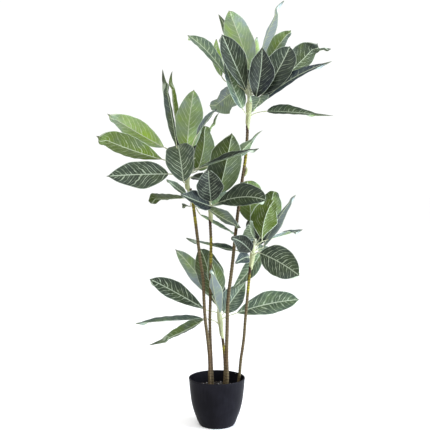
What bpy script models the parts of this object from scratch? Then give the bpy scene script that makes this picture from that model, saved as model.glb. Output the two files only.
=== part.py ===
"""Potted calathea: five ringed canes in a round black pot, each cane with a crown of striped leaves.

The plant stands on z = 0 with the pot's axis on z, and its front looks along -y. Canes and leaves are
placed on a front layout: a square grid of columns and rows, seen from EYE towards AIM, with a depth in
millimetres behind the pot's axis added to each place.
"""
import math
from collections import namedtuple

import bmesh
import bpy
from mathutils import Vector

MM = 0.001
GAP = 0.3 * MM

# The front layout
LAYOUT_SIDE = 430
LAYOUT_SPAN = 1.284
EYE = Vector((-0.0057, -2.53, 0.823))
AIM = Vector((-0.0057, 0.0, 0.637))

# The pot, as radius and height in millimetres down its outer side
POT_RIM_RADIUS = 85
POT_HEIGHT = 145
POT_WALL = 2.4
POT_FLOOR = 4
POT_LIP = 1.2
POT_SIDE = ((84.2, 136), (82.2, 112), (79.4, 87), (75.6, 64), (70, 43), (64, 27), (59, 14))
POT_FOOT = ((55.4, 6), (52.6, 1.8), (49, 0))
POT_SIDES = 36

# The soil
SOIL_HEIGHT = 114
SOIL_RISE = 4
SOIL_SIDES = 32

# The canes
CANE_FOOT_HEIGHT = 45
CANE_FOOT_REACH = 0.78
CANE_RING_PITCH = 38
CANE_RING_RISE = 0.7
CANE_TIP_PLAIN = 30
CANE_RESOLUTION = 1

# The leaves
BLADE_THICKNESS = 1.0
BLADE_STATIONS = (0.15, 0.36, 0.6, 0.83, 0.97)
BLADE_LANES = 4
BLADE_FULLEST = 0.5
BLADE_BLUNTNESS = 1.35
BLADE_KEENNESS = 0.3
BLADE_KEEN_START = 0.55
BLADE_REACH = 0.94
BLADE_TAIL_WIDTH = 4.0
BLADE_BASE_WIDTH = 3.0
BLADE_CHANNEL = 0.5
BLADE_CROWN = 0.18
BLADE_WAVE = 0.05
BLADE_WAVES = 1.6
GOLDEN_RATIO = 0.618034
STALK_WIDTH = 2.8
STALK_FOOT_WIDTH = 4.6
STALK_POINTS = 3
STALK_RUN_IN = 0.12

Cane = namedtuple("Cane", "name low_width high_width route")
Sheath = namedtuple("Sheath", "name route widths")
Leaf = namedtuple(
    "Leaf", "base middle tip width faces turn reach full blunt tail keen",
    defaults=(0, BLADE_REACH, BLADE_FULLEST, BLADE_BLUNTNESS, BLADE_TAIL_WIDTH, BLADE_KEENNESS))

CANES = (
    Cane("cane_left", 10.0, 9.0, (
        (209.8, 383, -20), (209.6, 360, -20), (207.8, 340, -19), (205.3, 320, -18), (204, 300, -17),
        (203.2, 280, -16), (200.3, 260, -15), (196.5, 230, -13), (193.2, 205, -11), (190.2, 188.5, -10),
    )),
    Cane("cane_middle", 9.3, 8.5, (
        (212.3, 383, 3), (211.3, 360, 3), (210.3, 340, 3), (209.9, 320, 3), (210.3, 300, 3),
        (210.7, 270, 4), (211, 248, 4), (210.8, 236, 5), (209.9, 218, 5),
    )),
    Cane("cane_tall", 11.4, 8.6, (
        (227, 381, -15), (226.6, 355, -14), (227.1, 330, -13), (228.1, 300, -11), (232.3, 265, -9),
        (235.6, 233, -7), (238.2, 210, -5), (242.2, 180, -3), (245.4, 159, -1), (247.2, 137, 0),
        (247.4, 124.5, 0),
    )),
    Cane("cane_right", 9.3, 8.6, (
        (238.8, 380, 18), (240.8, 360, 17), (243.7, 340, 15), (245.3, 320, 13), (247.1, 300, 10),
        (249, 280, 7), (250.3, 266.5, 5),
    )),
    Cane("cane_short", 8.6, 8.0, (
        (224.6, 380, 16), (224.8, 365, 22), (223.9, 350, 27), (222.4, 336.5, 32),
    )),
)

SHEATHS = (
    Sheath("crown_left",
           ((188.6, 193, -9), (187.2, 185, -9), (187.2, 178, -9), (188.8, 170, -7), (189.5, 161, -4)),
           (12, 14, 15, 11, 5)),
    Sheath("crown_middle",
           ((210.6, 223.5, 5), (210.7, 217, 4), (210.3, 210, 3), (209.3, 203, 2), (208.6, 196, 1)),
           (12, 14, 15, 11, 5)),
    Sheath("crown_top",
           ((247.3, 130, 0), (247.9, 121, 0), (248.7, 112, 0), (248.8, 103, 1), (248.3, 89, 2)),
           (12, 17, 24, 15, 6)),
    Sheath("crown_right",
           ((250.6, 271.5, 5), (251.3, 264, 4), (252.3, 256, 3), (253.5, 249, 2), (255.3, 241, 1)),
           (12, 15, 18, 13, 6)),
    Sheath("crown_low",
           ((222.7, 341, 32), (221.3, 331, 33), (220.2, 321, 34), (219.4, 314, 34), (218.6, 307, 34)),
           (12, 16, 19, 12, 5)),
)

TOP_LEAVES = (
    Leaf((226, 75.5, -10), (205.8, 52.5, 20), (187.5, 35.2, 55), 60, (0.55, -0.72, 0.5),
         full=0.42, keen=0.45),
    Leaf((221.5, 76, 30), (217, 57, 50), (216.4, 38.9, 70), 31, (0, 1, 0)),
    Leaf((241, 60, 60), (229.8, 35.2, 85), (218.4, 14.4, 105), 32, (0, 1, 0)),
    Leaf((251, 71, 35), (239.8, 38.5, 50), (228.7, 10.4, 55), 82, (0, 1, 0),
         reach=0.98, blunt=1.5, keen=0.2),
    Leaf((246, 89.5, -25), (234, 62, -40), (221.8, 34, -45), 74, (0.4, -0.9, 0.18),
         reach=0.97, full=0.55, blunt=1.35, keen=0.4),
    Leaf((242.5, 108.5, -12), (231.5, 83.5, -18), (224, 57, -14), 66, (0.69, -0.68, 0.25)),
    Leaf((255.8, 97.5, -25), (260.7, 71, -30), (262, 47.4, -15), 76, (0.2, -0.97, 0),
         reach=0.99, full=0.58, blunt=1.5, keen=0.6),
    Leaf((262, 95, -5), (277.5, 71.2, -15), (290, 46, -5), 84, (0, -1, 0.1),
         reach=0.98, full=0.55, blunt=1.45, keen=0.35),
    Leaf((258.5, 64, 20), (268.6, 31.5, 35), (284.6, 0.4, 55), 48, (0.84, 0.5, -0.33),
         reach=0.88, tail=16),
    Leaf((264.5, 66, 25), (277.3, 47, 50), (291, 30, 80), 56, (-0.3, 0.9, 0.3), full=0.38),
    Leaf((272, 88, 20), (297, 65, 30), (317.8, 43.3, 35), 90, (-0.4, 0.8, 0.44),
         reach=0.98, blunt=1.6, keen=0.2),
    Leaf((276, 80, 60), (305, 57, 85), (331.3, 48.8, 100), 55, (-0.49, 0.05, 0.87)),
    Leaf((260, 104, -5), (291, 79.5, -28), (332, 61.2, -40), 54, (-0.42, -0.5, 0.75), reach=0.86, tail=8),
    Leaf((253.5, 101, -12), (263, 97, -60), (255.5, 110, -105), 50, (0, -0.3, 1)),
    Leaf((267, 111.3, -10), (291.5, 112.6, -20), (333.8, 115.8, -25), 54, (0.07, -0.48, 0.87),
         reach=0.7, tail=12),
    Leaf((242, 86.5, 10), (225.5, 97, 60), (212.8, 108.8, 112), 88, (0.35, 0.85, -0.35),
         reach=0.97, blunt=1.1, keen=0),
    Leaf((251.2, 72, 50), (254.2, 55, 70), (257.2, 36.7, 85), 34, (0.6, 0.8, 0)),
    Leaf((245, 92, 25), (238, 74, 90), (237, 62, 150), 74, (0, -0.7, 0.7)),
    Leaf((255, 92, 25), (265, 79, 90), (272, 70, 150), 74, (0, -0.7, 0.7)),
    Leaf((249, 95, 22), (249, 87, 95), (250, 85, 165), 74, (0, -0.5, 0.85)),
)

LEFT_LEAVES = (
    Leaf((163.8, 147.2, 15), (138, 133, 20), (107, 113.6, 20), 69, (0.22, 0.89, 0.38),
         full=0.52, keen=0.4),
    Leaf((162.5, 159.5, -20), (130, 149.3, -40), (96, 135.8, -40), 83, (0.2, 0.8, 0.56),
         full=0.54, keen=0.4),
    Leaf((168.5, 174, -30), (138, 174.5, -45), (106, 176.3, -60), 80, (0, -0.99, 0.1),
         full=0.55, keen=0.5),
    Leaf((183.5, 181.5, -30), (180.3, 157.5, -26), (178, 144.7, 30), 88, (0, -1, 0.1), keen=0),
    Leaf((187, 152, 45), (189.3, 121, 50), (194, 89.5, 50), 84, (0, 1, 0), reach=0.98, blunt=1.35),
    Leaf((176.5, 146, 0), (170.2, 108, 0), (162.5, 69.3, 5), 50, (-0.85, 0.46, 0),
         reach=0.82, full=0.6, tail=10),
    Leaf((179, 132, 74), (173.4, 101, 76), (172.4, 71, 78), 38, (0.85, 0.5, 0), reach=0.8, tail=10),
    Leaf((197, 135, 30), (206.7, 121, 30), (217, 108.3, 25), 38, (-0.72, 0.42, 0.54)),
    Leaf((203, 148, 90), (210.5, 130, 115), (219, 112.8, 122), 27, (-0.7, 0.5, 0.4), reach=0.7, tail=8),
    Leaf((197.5, 170, 15), (203, 148, 55), (203.3, 126.5, 90), 88, (0, 1, 0),
         reach=0.98, blunt=1.35, keen=0.2),
    Leaf((199, 167.8, -45), (229.5, 158, -93), (259, 148.3, -117), 60, (-0.3, -0.2, 0.95),
         reach=0.93, tail=9),
    Leaf((236, 157, -12), (247, 145.5, -28), (262.7, 130.3, -42), 32, (0, 1, 0), reach=0.72, tail=9),
    Leaf((192, 176.5, 0), (197.5, 178, 30), (203, 181, 58), 44, (0, 0.8, 0.7)),
    Leaf((187, 195, -14), (177.5, 188.5, -40), (166.5, 179.3, -65), 32, (0.35, -0.7, 0.6)),
    Leaf((187, 197, 0), (165, 198, 45), (150.8, 198, 110), 64, (0, 0.5, 0.85),
         turn=20, full=0.58, blunt=1.1, keen=0),
    Leaf((190.3, 206.5, 10), (187, 206.2, 44), (182.5, 207.1, 68), 34, (0, 0.5, 0.85)),
    Leaf((201, 215, 30), (217, 225.3, 42), (236, 234, 44), 36, (0.45, -0.26, 0.85)),
    Leaf((188, 165, 20), (185, 136, 85), (184, 116, 130), 72, (0, -0.7, 0.7)),
    Leaf((193, 170, 22), (200, 161, 100), (204, 156, 165), 72, (0, -0.7, 0.7)),
    Leaf((184, 172, 15), (177, 164, 85), (174, 161, 150), 70, (0, -0.7, 0.7)),
)

MIDDLE_LEAVES = (
    Leaf((218.5, 193, -8), (226.8, 160, -45), (231.8, 132.8, -58), 100, (0, 1, 0),
         reach=0.97, full=0.53, blunt=1.2, keen=0),
    Leaf((211, 201, -25), (209.3, 184, -62), (208.3, 169.8, -80), 77, (0, -1, 0.25),
         reach=0.98, blunt=1.3, keen=0.2),
    Leaf((218, 204, -20), (243.5, 198, -60), (266, 201, -90), 77, (-0.03, -0.85, 0.52),
         reach=0.98, full=0.55, blunt=1.35, keen=0.2),
    Leaf((210, 206, -20), (195.5, 200.5, -60), (180.5, 194, -92), 62, (0.2, -0.8, 0.6), full=0.42),
    Leaf((207, 207.5, -18), (222.7, 217.8, -45), (241, 227.8, -50), 50, (0.37, 0.72, 0.6), full=0.54),
    Leaf((211, 200, 20), (218, 181, 85), (225, 168, 135), 74, (0, -0.7, 0.7)),
    Leaf((213, 206, 18), (225, 199, 85), (236, 196, 150), 74, (0, -0.7, 0.7)),
    Leaf((208, 206, 15), (203, 207, 75), (200, 206, 135), 70, (0, -0.7, 0.7)),
)

RIGHT_LEAVES = (
    Leaf((260.5, 236, 35), (268.5, 212, 55), (273.6, 191.4, 75), 78, (0, 1, 0),
         reach=0.99, blunt=1, keen=0),
    Leaf((262.5, 238, -15), (265.8, 217, -22), (271.8, 200.5, 20), 70, (0, 1, 0),
         reach=0.99, full=0.69, blunt=2.8, keen=0),
    Leaf((263.5, 246.5, 5), (276.8, 221, 10), (296, 194.7, 10), 40, (0.7, 0.55, -0.45)),
    Leaf((251, 221.5, 20), (249.5, 200, 40), (247, 180.8, 50), 86, (0, 1, 0),
         reach=0.99, full=0.6, blunt=1.05, keen=0),
    Leaf((255, 240, -5), (250.5, 230.5, -45), (249.5, 221.5, -90), 50, (-0.66, 0.75, 0.1)),
    Leaf((251, 251.5, -20), (241.5, 242.3, -80), (231.3, 238, -125), 50, (0, -1, 0.1)),
    Leaf((270.5, 239, 10), (286, 234.5, 60), (302.3, 229.5, 115), 48, (-0.2, -0.02, 0.97),
         reach=0.82, tail=17),
    Leaf((260, 253, -25), (280, 262, -75), (299.5, 275.8, -115), 88, (0, -1, 0), reach=0.97),
    Leaf((261, 252, 22), (250.5, 269, 22), (231.8, 289.5, 25), 45, (0, -1, 0.2)),
    Leaf((249, 257, -8), (243, 258.5, -45), (235.3, 263.5, -72), 37, (0, -1, 0.2)),
    Leaf((235.5, 250.3, 30), (209, 245, 42), (185.7, 237.8, 46), 46, (-0.1, 0.1, 1),
         turn=40, reach=0.8, tail=12),
    Leaf((258, 246, 20), (262, 226, 90), (264, 214, 150), 76, (0, -0.7, 0.7)),
    Leaf((254, 244, 15), (255, 228, 85), (257, 213, 140), 62, (0, -0.7, 0.7)),
    Leaf((258, 250, 15), (271, 256, 85), (280, 260, 150), 74, (0, -0.7, 0.7)),
)

LOW_LEAVES = (
    Leaf((219.5, 312.5, 5), (214, 291, -30), (211.5, 268, -38), 54, (0.8, 0.59, 0.08)),
    Leaf((213, 298.5, 60), (195.5, 272, 75), (175, 249, 85), 52, (0, 1, 0), full=0.54),
    Leaf((214.5, 295.5, 50), (208.5, 271, 60), (200.6, 248.5, 75), 82, (0, 1, 0),
         reach=0.98, blunt=1.1, keen=0),
    Leaf((217.5, 295, 42), (216, 277, 40), (208, 254, 45), 52, (0, 1, 0)),
    Leaf((204, 309, 30), (177, 293.5, 25), (149.3, 278.8, 15), 60, (0.1, -0.85, 0.5),
         reach=0.97, full=0.57),
    Leaf((203, 318.8, 30), (170, 320.8, 20), (135, 323.2, 10), 62, (0, -0.1, 1), reach=0.88, tail=11),
    Leaf((203.3, 320, 22), (178.5, 333.6, -5), (148.3, 345.2, -25), 60, (-0.32, 0.65, 0.68),
         reach=0.78, tail=10),
    Leaf((224, 313, 50), (233.5, 298, 70), (246, 282, 85), 68, (0, -1, 0.2)),
    Leaf((237, 313, 45), (268, 304, 40), (299.5, 299.6, 30), 72, (0, -0.89, 0.46), reach=0.97, full=0.57),
    Leaf((218, 306, 60), (216, 291, 120), (215, 281, 175), 70, (0, -0.7, 0.7)),
    Leaf((222, 310, 60), (229, 303, 125), (235, 299, 180), 70, (0, -0.7, 0.7)),
)

CROWN_LEAVES = {
    "crown_left": LEFT_LEAVES,
    "crown_middle": MIDDLE_LEAVES,
    "crown_top": TOP_LEAVES,
    "crown_right": RIGHT_LEAVES,
    "crown_low": LOW_LEAVES,
}


def clear_scene():
    for item in list(bpy.data.objects):
        bpy.data.objects.remove(item)


def collection_named(name):
    """A new collection in the scene."""
    group = bpy.data.collections.new(name)
    bpy.context.scene.collection.children.link(group)
    return group


def finish(name, colour, roughness):
    """A plain material of one colour."""
    material = bpy.data.materials.new(name)
    material.use_nodes = True
    shader = material.node_tree.nodes["Principled BSDF"]
    shader.inputs["Base Color"].default_value = (*colour, 1)
    shader.inputs["Roughness"].default_value = roughness
    shader.inputs["Metallic"].default_value = 0
    return material


def place(spot):
    """The point in metres at a column, a row and a depth in millimetres of the front layout."""
    column, row, depth = spot
    ahead = AIM - EYE
    distance = ahead.length
    ahead.normalize()
    right = ahead.cross(Vector((0, 0, 1))).normalized()
    up = right.cross(ahead)
    across = (column - LAYOUT_SIDE / 2) * LAYOUT_SPAN / LAYOUT_SIDE
    above = (LAYOUT_SIDE / 2 - row) * LAYOUT_SPAN / LAYOUT_SIDE
    ray = ahead * distance + right * across + up * above
    return EYE + ray * ((depth * MM - EYE.y) / ray.y)


def between(a, b, c, d, t):
    """A point between b and c on the smooth curve through a, b, c and d."""
    return 0.5 * (2 * b + (c - a) * t + (2 * a - 5 * b + 4 * c - d) * t * t
                  + (3 * b - a - 3 * c + d) * t * t * t)


def smooth_route(points, fine=12):
    """Many points on one smooth curve through a few."""
    ends = [2 * points[0] - points[1], *points, 2 * points[-1] - points[-2]]
    route = []
    for i in range(len(points) - 1):
        route += [between(*ends[i:i + 4], step / fine) for step in range(fine)]
    return route + [points[-1]]


def lengths_along(points):
    """The distance from the start of a route to each of its points."""
    lengths = [0.0]
    for a, b in zip(points, points[1:]):
        lengths.append(lengths[-1] + (b - a).length)
    return lengths


def point_at(points, lengths, length):
    """The point that lies a length along a route."""
    for i in range(len(points) - 1):
        if length <= lengths[i + 1]:
            share = (length - lengths[i]) / (lengths[i + 1] - lengths[i])
            return points[i].lerp(points[i + 1], share)
    return points[-1]


def tube(name, points, radii, group, resolution=CANE_RESOLUTION):
    """A round tube with closed ends, as a curve."""
    curve = bpy.data.curves.new(name, "CURVE")
    curve.dimensions = "3D"
    curve.bevel_depth = MM
    curve.bevel_resolution = resolution
    curve.use_fill_caps = True
    spline = curve.splines.new("POLY")
    spline.points.add(len(points) - 1)
    for point, spot, radius in zip(spline.points, points, radii):
        point.co = (*spot, 1)
        point.radius = radius / MM
    item = bpy.data.objects.new(name, curve)
    group.objects.link(item)
    return item


def as_mesh(item, group):
    """The same shape as a mesh whose caps are welded on."""
    bpy.context.view_layer.update()
    read = item.evaluated_get(bpy.context.evaluated_depsgraph_get())
    mesh = bpy.data.meshes.new_from_object(read)
    welded = bmesh.new()
    welded.from_mesh(mesh)
    bmesh.ops.remove_doubles(welded, verts=welded.verts, dist=0.00001)
    welded.to_mesh(mesh)
    welded.free()
    name = item.name
    place_in_world = item.matrix_world.copy()
    bpy.data.objects.remove(item)
    solid = bpy.data.objects.new(name, mesh)
    solid.matrix_world = place_in_world
    group.objects.link(solid)
    return solid


def turned(name, profile, sides, group, material):
    """A solid of revolution about z, from radius and height in millimetres down its outer side."""
    mesh = bpy.data.meshes.new(name)
    points = [(radius * MM, 0, height * MM) for radius, height in profile]
    mesh.from_pydata(points, [(i, i + 1) for i in range(len(points) - 1)], [])
    item = bpy.data.objects.new(name, mesh)
    group.objects.link(item)
    screw = item.modifiers.new("turn", "SCREW")
    screw.steps = sides
    screw.render_steps = sides
    screw.use_merge_vertices = True
    screw.merge_threshold = 0.00001
    screw.use_smooth_shade = True
    mesh.materials.append(material)
    return item


def pot_profile():
    """Up the inner wall, over the rounded lip, down the outer side and in to the middle of the foot."""
    inner = [(radius - POT_WALL, height) for radius, height in reversed(POT_SIDE)]
    inner[0] = (inner[0][0], POT_FLOOR + 6)
    corner = (inner[0][0] - 4, POT_FLOOR)
    lip = [
        (POT_RIM_RADIUS - POT_WALL - 1, POT_HEIGHT - 6),
        (POT_RIM_RADIUS - POT_WALL - 1, POT_HEIGHT - POT_LIP),
        (POT_RIM_RADIUS - POT_WALL + 0.2, POT_HEIGHT),
        (POT_RIM_RADIUS - POT_LIP, POT_HEIGHT),
        (POT_RIM_RADIUS, POT_HEIGHT - POT_LIP),
        (POT_RIM_RADIUS, POT_HEIGHT - 6),
    ]
    return [(0, POT_FLOOR), corner, *inner, *lip, *POT_SIDE, *POT_FOOT, (0, 0)]


def inner_radius(height):
    """The radius of the pot's inner wall at a height, both in millimetres."""
    for upper, lower in zip(POT_SIDE, POT_SIDE[1:]):
        if height >= lower[1]:
            share = (height - lower[1]) / (upper[1] - lower[1])
            return lower[0] + (upper[0] - lower[0]) * share - POT_WALL
    return POT_SIDE[-1][0] - POT_WALL


def soil_profile():
    """The same inner wall, a gap inside it, under a low mound."""
    gap = GAP / MM
    shoulder = SOIL_HEIGHT - SOIL_RISE
    heights = [height for radius, height in POT_SIDE if height < shoulder]
    side = [(inner_radius(height) - gap, height) for height in (shoulder, *heights[:-1])]
    side.append((inner_radius(heights[-1]) - gap, POT_FLOOR + 6))
    floor = POT_FLOOR + gap
    return [(0, SOIL_HEIGHT), (30, SOIL_HEIGHT - 0.6), (60, SOIL_HEIGHT - SOIL_RISE / 2),
            *side, (side[-1][0] - 4.2, floor), (0, floor)]


def cane_route(cane):
    """The cane's smooth middle line, from its foot in the soil to its tip."""
    points = [place(spot) for spot in cane.route]
    low = points[0]
    foot = Vector((low.x * CANE_FOOT_REACH, low.y * CANE_FOOT_REACH, CANE_FOOT_HEIGHT * MM))
    return smooth_route([foot, *points])


def cane_points(cane, rise, extra=0.0):
    """Points up a cane, each with its radius: rings stand out by rise, and extra widens it all."""
    route = cane_route(cane)
    lengths = lengths_along(route)
    total = lengths[-1]
    rings = round((total - CANE_TIP_PLAIN * MM) / (CANE_RING_PITCH * MM))
    pitch = (total - CANE_TIP_PLAIN * MM) / rings
    steps = [0.0]
    for i in range(rings):
        steps += [(i + 0.68) * pitch, (i + 1) * pitch]
    steps.append(total)
    points = []
    radii = []
    for i, length in enumerate(steps):
        share = length / total
        radius = (cane.low_width * (1 - share) + cane.high_width * share) * MM / 2
        stands_out = rise * MM if i % 2 == 1 and i < len(steps) - 1 else 0.0
        points.append(point_at(route, lengths, length))
        radii.append(radius + stands_out + extra)
    return points, radii


def cane_cutter(cane, group):
    """A plain tube, a gap wider than the cane all round, that reaches past its tip and foot."""
    points, radii = cane_points(cane, 0.0, CANE_RING_RISE * MM + GAP)
    points[0] = points[0] - Vector((0, 0, GAP))
    points[-1] = points[-1] + (points[-1] - points[-2]).normalized() * GAP
    cutter = as_mesh(tube("hole_" + cane.name, points, radii, group), group)
    cutter.display_type = "WIRE"
    cutter.hide_render = True
    return cutter


def cut(item, cutters):
    """Takes the cutters' shapes out of an object."""
    for cutter in cutters:
        hole = item.modifiers.new("hole", "BOOLEAN")
        hole.operation = "DIFFERENCE"
        hole.object = cutter


def apply_modifiers(item):
    """Keeps what the modifiers make as the object's own mesh."""
    bpy.context.view_layer.update()
    read = item.evaluated_get(bpy.context.evaluated_depsgraph_get())
    mesh = bpy.data.meshes.new_from_object(read)
    item.modifiers.clear()
    item.data = mesh


def midrib(leaf, t):
    """The middle line of a blade and its direction at t, from 0 at the base to 1 at the tip."""
    base, middle, tip = (place(spot) for spot in (leaf.base, leaf.middle, leaf.tip))
    pull = 2 * middle - (base + tip) / 2
    spot = base * (1 - t) ** 2 + pull * (2 * t * (1 - t)) + tip * t ** 2
    heading = (pull - base) * (1 - t) + (tip - pull) * t
    return spot, heading.normalized()


def half_width(leaf, t):
    """Half the blade's width at t: round at the base, tapering to a short slim tail at the tip."""
    along = min(t / leaf.reach, 1)
    rising = leaf.blunt * leaf.full
    falling = leaf.blunt * (1 - leaf.full)
    top = leaf.full ** rising * (1 - leaf.full) ** falling
    late = max(along - BLADE_KEEN_START, 0) / (1 - BLADE_KEEN_START)
    keen = 1 - leaf.keen * late * late * (3 - 2 * late)
    shape = along ** rising * (1 - along) ** falling / top * keen
    base = BLADE_BASE_WIDTH * (1 - t)
    tail = leaf.tail * min(1, 2 * (1 - t))
    return max(leaf.width * shape, base, tail if t > 0.5 else 0) * MM / 2


def blade_frame(leaf, t):
    """The blade's middle, its side direction and the way its upper face looks at t."""
    spot, heading = midrib(leaf, t)
    faces = Vector(leaf.faces)
    up = (faces - heading * faces.dot(heading)).normalized()
    turn = math.radians(leaf.turn) * (t - 0.5) * 2
    side = heading.cross(up)
    return spot, side * math.cos(turn) - up * math.sin(turn), up * math.cos(turn) + side * math.sin(turn)


def blade_point(leaf, t, s, phase):
    """A point of the blade's upper face: s runs from -1 to 1 across it."""
    spot, side, up = blade_frame(leaf, t)
    half = half_width(leaf, t)
    rise = BLADE_CHANNEL * abs(s) - BLADE_CROWN * s * s
    wave = BLADE_WAVE * math.sin(2 * math.pi * (BLADE_WAVES * t + phase + 0.25 * s)) * s * s
    return spot + side * (half * s) + up * (half * rise + leaf.width * MM * wave * math.sin(math.pi * t))


def blade(name, leaf, phase, group):
    """A leaf blade: a surface of triangles, thickened away from its upper face."""
    built = bmesh.new()
    rows = []
    lanes = range(BLADE_LANES + 1)
    for along in BLADE_STATIONS:
        t = along * leaf.reach
        rows.append([built.verts.new(blade_point(leaf, t, 2 * j / BLADE_LANES - 1, phase))
                     for j in lanes])
    base = built.verts.new(blade_point(leaf, 0.0, 0.0, phase))
    tip = built.verts.new(blade_point(leaf, 1.0, 0.0, phase))
    for low, high in zip(rows, rows[1:]):
        for j in range(BLADE_LANES):
            if j < BLADE_LANES / 2:
                built.faces.new((low[j], low[j + 1], high[j + 1]))
                built.faces.new((low[j], high[j + 1], high[j]))
            else:
                built.faces.new((low[j], low[j + 1], high[j]))
                built.faces.new((low[j + 1], high[j + 1], high[j]))
    for j in range(BLADE_LANES):
        built.faces.new((rows[0][j + 1], rows[0][j], base))
        built.faces.new((rows[-1][j], rows[-1][j + 1], tip))
    mesh = bpy.data.meshes.new(name)
    built.to_mesh(mesh)
    built.free()
    item = bpy.data.objects.new(name, mesh)
    group.objects.link(item)
    shell = item.modifiers.new("thickness", "SOLIDIFY")
    shell.thickness = BLADE_THICKNESS * MM
    shell.offset = -1
    return item


def stalk(name, leaf, sheath, group):
    """A leaf stalk, from inside the sheath or shoot to a short way along the blade's midrib."""
    axis = [place(spot) for spot in sheath.route]
    base, heading = midrib(leaf, 0.0)
    run_in = midrib(leaf, STALK_RUN_IN)[0]
    lowest, highest = axis[1].z, axis[-2].z
    reach = (base - axis[-1]).length
    height = min(max(base.z - 0.5 * reach, lowest), highest)
    share = (height - lowest) / (highest - lowest)
    route = smooth_route(axis[1:-1])
    root = point_at(route, lengths_along(route), share * lengths_along(route)[-1])
    rising = (axis[-2] - axis[1]).normalized()
    pull = (base - root).length / 3
    controls = (root, root + rising * pull, base - heading * pull, base)
    points = []
    radii = []
    for i in range(STALK_POINTS):
        t = i / (STALK_POINTS - 1)
        a, b, c, d = controls
        points.append(a * (1 - t) ** 3 + b * (3 * t * (1 - t) ** 2) + c * (3 * t * t * (1 - t)) + d * t ** 3)
        radii.append((STALK_FOOT_WIDTH * (1 - t) + STALK_WIDTH * t) * MM / 2)
    points.append(run_in)
    radii.append(radii[-1] * 0.7)
    return as_mesh(tube(name, points, radii, group, 0), group)


def crown(sheath, leaves, cutter, group, material):
    """The leafy top of a cane: sheath, shoot, stalks and blades joined in one body, with a socket."""
    loose = collection_named(sheath.name + "_loose")
    axis = [place(spot) for spot in sheath.route]
    radii = [width * MM / 2 for width in sheath.widths]
    body = as_mesh(tube(sheath.name, axis, radii, group), group)
    for i, leaf in enumerate(leaves):
        phase = (i + 1) * GOLDEN_RATIO
        blade(sheath.name + "_blade", leaf, phase, loose)
        stalk(sheath.name + "_stalk", leaf, sheath, loose)
    union = body.modifiers.new("join", "BOOLEAN")
    union.operation = "UNION"
    union.operand_type = "COLLECTION"
    union.collection = loose
    apply_modifiers(body)
    for item in list(loose.objects):
        bpy.data.objects.remove(item)
    bpy.data.collections.remove(loose)
    cut(body, [cutter])
    body.data.materials.clear()
    body.data.materials.append(material)
    return body


def build():
    clear_scene()
    plant = collection_named("potted_calathea")
    cutters = collection_named("cutters")
    black = finish("pot_black", (0.012, 0.013, 0.016), 0.42)
    earth = finish("soil_dark", (0.03, 0.027, 0.025), 0.95)
    brown = finish("cane_brown", (0.16, 0.085, 0.04), 0.75)
    green = finish("leaf_green", (0.09, 0.17, 0.09), 0.5)
    turned("pot", pot_profile(), POT_SIDES, plant, black)
    soil = turned("soil", soil_profile(), SOIL_SIDES, plant, earth)
    holes = []
    for cane in CANES:
        points, radii = cane_points(cane, CANE_RING_RISE)
        as_mesh(tube(cane.name, points, radii, plant), plant).data.materials.append(brown)
        holes.append(cane_cutter(cane, cutters))
    cut(soil, holes)
    for sheath, hole in zip(SHEATHS, holes):
        crown(sheath, CROWN_LEAVES[sheath.name], hole, plant, green)


build()
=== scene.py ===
"""Looks of the potted calathea: striped leaves, ringed canes, crumbly soil and a satin black pot.

Canes and leaves are placed on the same front layout as the solids: a square grid of columns and rows,
seen from EYE towards AIM, with a depth in millimetres behind the pot's axis added to each place.
"""
import math
import random
from collections import namedtuple

import bpy
import numpy as np
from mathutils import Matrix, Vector, noise


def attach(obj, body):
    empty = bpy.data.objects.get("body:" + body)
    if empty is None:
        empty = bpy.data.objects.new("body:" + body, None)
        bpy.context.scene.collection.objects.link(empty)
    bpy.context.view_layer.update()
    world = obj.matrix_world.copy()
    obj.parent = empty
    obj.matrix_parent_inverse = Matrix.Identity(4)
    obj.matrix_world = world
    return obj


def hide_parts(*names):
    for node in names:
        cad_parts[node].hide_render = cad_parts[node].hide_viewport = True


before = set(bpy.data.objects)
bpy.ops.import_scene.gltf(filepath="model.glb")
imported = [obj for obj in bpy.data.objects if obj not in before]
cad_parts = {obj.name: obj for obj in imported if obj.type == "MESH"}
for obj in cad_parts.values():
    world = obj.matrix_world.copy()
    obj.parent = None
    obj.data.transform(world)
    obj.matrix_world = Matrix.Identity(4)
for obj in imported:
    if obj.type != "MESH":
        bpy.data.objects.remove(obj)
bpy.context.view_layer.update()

MM = 0.001
ROOT = "root"

# The front layout and the camera
LAYOUT_SIDE = 430
LAYOUT_SPAN = 1.284
EYE = Vector((-0.0057, -2.53, 0.823))
AIM = Vector((-0.0057, 0.0, 0.637))
SENSOR = 36.0

# The pot, as radius and height in millimetres down its outer side
RIM_RADIUS = 85
POT_HEIGHT = 145
POT_WALL = 2.4
POT_SIDE = ((84.2, 136), (82.2, 112), (79.4, 87), (75.6, 64), (70, 43), (64, 27), (59, 14))
POT_FOOT = ((55.4, 6), (52.6, 1.8), (49, 0))
POT_UNDER = ((46, 0.2), (44, 1.5), (20, 1.5), (0.01, 1.5))
POT_SEGMENTS = 144
PROFILE_STEPS = 6

# The pot's lip, and the groove below it as how far in and down from the rim
LIP_SWELL = 0.4
LIP_HEIGHT = 4
LIP_STEPS = 7
LIP_INSIDE = 6
LIP_GROOVE = ((0, 4.8), (0.15, 5.6), (0.6, 6.2))

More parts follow.
